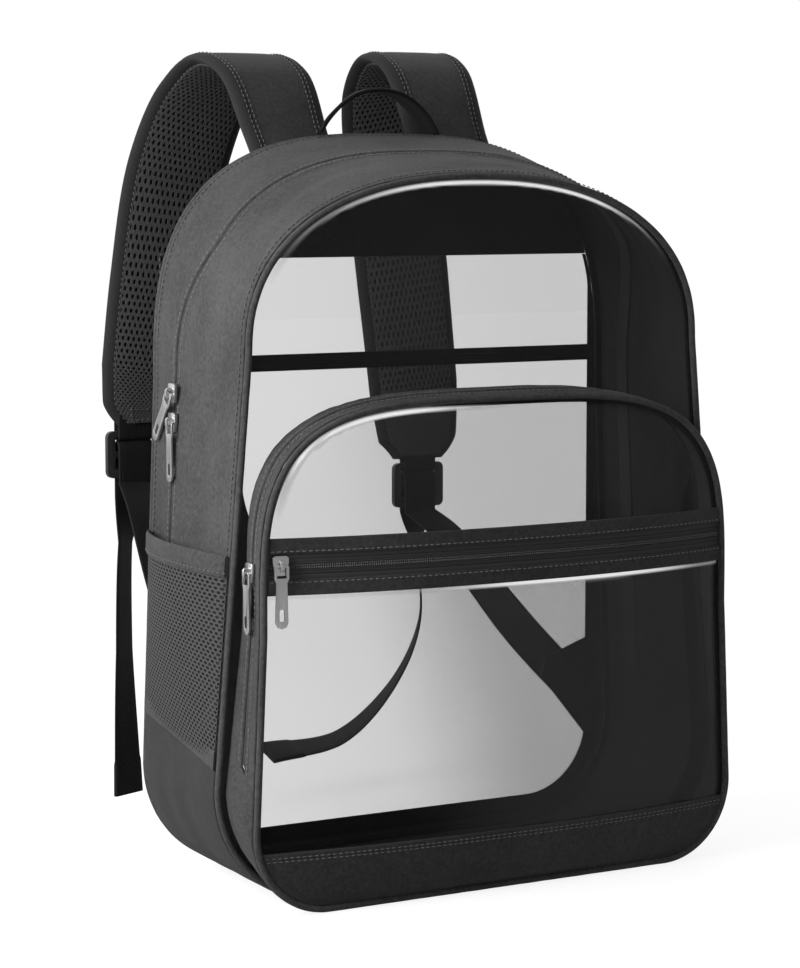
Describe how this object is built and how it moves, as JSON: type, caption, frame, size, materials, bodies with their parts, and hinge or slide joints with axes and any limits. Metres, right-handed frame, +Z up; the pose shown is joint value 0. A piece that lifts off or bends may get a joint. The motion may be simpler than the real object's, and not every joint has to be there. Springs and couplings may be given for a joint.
{
  "type": "clear stadium backpack",
  "caption": "Clear backpack with fabric gussets, arched zip opening, clear front pocket with zip band, mesh side pockets, padded shoulder straps and haul loop.",
  "frame": {"origin": "centre of the main compartment's flat base, on the surface that the bag stands on", "axes": "+Z up, front of the bag towards -Y, shoulder straps towards +Y, +X to the right seen from the front"},
  "size_m": [0.3546, 0.3115, 0.494],
  "materials": {
    "fabric": "matte",
    "padding": "matte",
    "mesh": "matte",
    "webbing": "matte",
    "zip": "satin",
    "metal": "satin",
    "plastic": "satin",
    "clear": "gloss"
  },
  "bodies": {
    "backpack": {"gusset_front": "fabric", "gusset_rear": "fabric", "gusset_base": "fabric", "main_zip": "zip", "pocket_gusset_front": "fabric", "pocket_gusset_rear": "fabric", "pocket_gusset_base": "fabric", "pocket_zip": "zip", "back_piping": "fabric", "front_piping": "fabric", "pocket_piping": "fabric", "back_sheet": "clear", "back_yoke": "fabric", "back_cross_strip": "fabric", "back_strip_left": "fabric", "back_strip_right": "fabric", "back_bottom_strip": "fabric", "front_sheet": "clear", "pocket_sheet_upper": "clear", "band_trim_upper": "fabric", "band_zip": "zip", "band_trim_lower": "fabric", "pocket_sheet_lower": "clear", "pocket_base_band": "fabric", "side_mesh_left": "mesh", "side_binding_left": "fabric", "side_mesh_right": "mesh", "side_binding_right": "fabric", "main_upper_slider": "metal", "main_lower_slider": "metal", "pocket_slider": "metal", "band_slider": "metal", "strap_left": "padding", "buckle_left": "plastic", "buckle_tab_left": "webbing", "webbing_left": "webbing", "corner_tab_left": "fabric", "strap_right": "padding", "buckle_right": "plastic", "buckle_tab_right": "webbing", "webbing_right": "webbing", "corner_tab_right": "fabric", "haul_loop": "webbing"},
    "main_upper_pull": {"main_upper_pull": "metal"},
    "main_lower_pull": {"main_lower_pull": "metal"},
    "pocket_pull": {"pocket_pull": "metal"},
    "band_pull": {"band_pull": "metal"}
  },
  "joints": [
    {"name": "main_upper_pull_swing", "type": "hinge", "parent": "backpack", "child": "main_upper_pull", "pos_m": [-0.16228, 0.02475, 0.289], "axis": [0, 0.809, 0.5878], "range_deg": [0, 150]},
    {"name": "main_lower_pull_swing", "type": "hinge", "parent": "backpack", "child": "main_lower_pull", "pos_m": [-0.16228, 0.02475, 0.272], "axis": [0, 1, 0], "range_deg": [0, 150]},
    {"name": "pocket_pull_swing", "type": "hinge", "parent": "backpack", "child": "pocket_pull", "pos_m": [-0.16044, -0.06884, 0.195], "axis": [0, 1, 0], "range_deg": [0, 150]},
    {"name": "band_pull_swing", "type": "hinge", "parent": "backpack", "child": "band_pull", "pos_m": [-0.14779, -0.08696, 0.2], "axis": [-0.9766, 0.2149, 0], "range_deg": [0, 150]}
  ]
}
